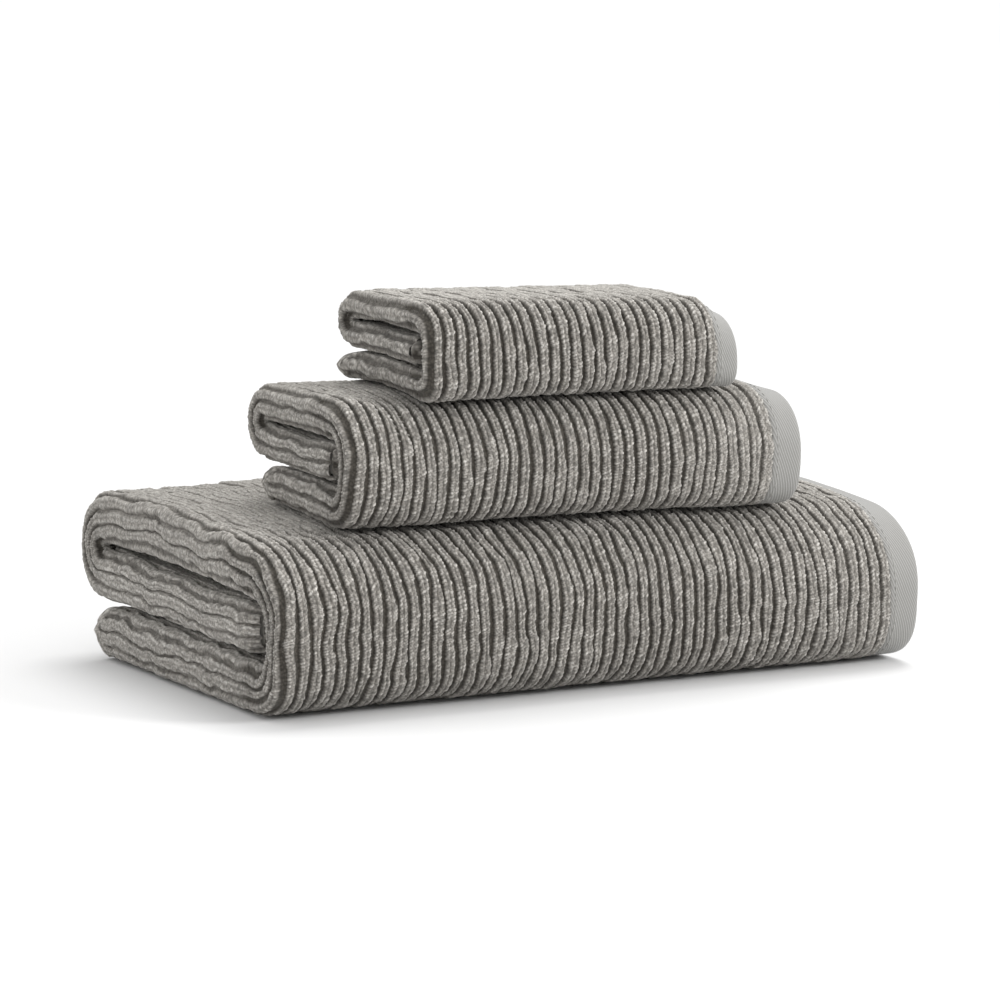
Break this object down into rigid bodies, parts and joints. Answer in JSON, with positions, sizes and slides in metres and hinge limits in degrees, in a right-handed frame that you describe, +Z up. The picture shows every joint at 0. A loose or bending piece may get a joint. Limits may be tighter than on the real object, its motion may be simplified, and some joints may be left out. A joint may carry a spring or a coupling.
{
  "type": "folded bath towel set",
  "caption": "Folded ribbed terry towels stacked by size, bath towel below, hand towel, wash cloth on top, each with flat woven end hems and a rounded front fold.",
  "frame": {"origin": "centre of the bounding box of the whole stack, on the surface the bottom towel lies on", "axes": "+X along the rounded front folds towards the end with the flat woven hems, -Y out of the front folds, +Z up"},
  "size_m": [0.3498, 0.2376, 0.1866],
  "materials": {
    "bath_towel_terry_cloth": "matte ribbed looped pile",
    "bath_towel_outer_end_hem": "smooth twill weave",
    "bath_towel_inner_end_hem": "smooth twill weave",
    "bath_towel_outer_end_stitching": "twisted cotton thread",
    "bath_towel_inner_end_stitching": "twisted cotton thread",
    "bath_towel_outer_side_hem": "flat plain weave, turned and sewn",
    "bath_towel_inner_side_hem": "flat plain weave, turned and sewn",
    "hand_towel_terry_cloth": "matte ribbed looped pile",
    "hand_towel_outer_end_hem": "smooth twill weave",
    "hand_towel_inner_end_hem": "smooth twill weave",
    "hand_towel_outer_end_stitching": "twisted cotton thread",
    "hand_towel_inner_end_stitching": "twisted cotton thread",
    "hand_towel_outer_side_hem": "flat plain weave, turned and sewn",
    "hand_towel_inner_side_hem": "flat plain weave, turned and sewn",
    "wash_cloth_terry_cloth": "matte ribbed looped pile",
    "wash_cloth_outer_end_hem": "smooth twill weave",
    "wash_cloth_inner_end_hem": "smooth twill weave",
    "wash_cloth_outer_end_stitching": "twisted cotton thread",
    "wash_cloth_inner_end_stitching": "twisted cotton thread",
    "wash_cloth_outer_side_hem": "flat plain weave, turned and sewn",
    "wash_cloth_inner_side_hem": "flat plain weave, turned and sewn"
  },
  "bodies": {
    "bath_towel": {"bath_towel_terry_cloth": "bath_towel_terry_cloth", "bath_towel_outer_end_hem": "bath_towel_outer_end_hem", "bath_towel_inner_end_hem": "bath_towel_inner_end_hem", "bath_towel_outer_end_stitching": "bath_towel_outer_end_stitching", "bath_towel_inner_end_stitching": "bath_towel_inner_end_stitching", "bath_towel_outer_side_hem": "bath_towel_outer_side_hem", "bath_towel_inner_side_hem": "bath_towel_inner_side_hem"},
    "hand_towel": {"hand_towel_terry_cloth": "hand_towel_terry_cloth", "hand_towel_outer_end_hem": "hand_towel_outer_end_hem", "hand_towel_inner_end_hem": "hand_towel_inner_end_hem", "hand_towel_outer_end_stitching": "hand_towel_outer_end_stitching", "hand_towel_inner_end_stitching": "hand_towel_inner_end_stitching", "hand_towel_outer_side_hem": "hand_towel_outer_side_hem", "hand_towel_inner_side_hem": "hand_towel_inner_side_hem"},
    "wash_cloth": {"wash_cloth_terry_cloth": "wash_cloth_terry_cloth", "wash_cloth_outer_end_hem": "wash_cloth_outer_end_hem", "wash_cloth_inner_end_hem": "wash_cloth_inner_end_hem", "wash_cloth_outer_end_stitching": "wash_cloth_outer_end_stitching", "wash_cloth_inner_end_stitching": "wash_cloth_inner_end_stitching", "wash_cloth_outer_side_hem": "wash_cloth_outer_side_hem", "wash_cloth_inner_side_hem": "wash_cloth_inner_side_hem"}
  },
  "joints": [
    {"name": "hand_towel_lift_off", "type": "slide", "parent": "bath_towel", "child": "hand_towel", "axis": [0, 0, 1], "range_m": [0, 0.25]},
    {"name": "wash_cloth_lift_off", "type": "slide", "parent": "hand_towel", "child": "wash_cloth", "axis": [0, 0, 1], "range_m": [0, 0.2]}
  ]
}
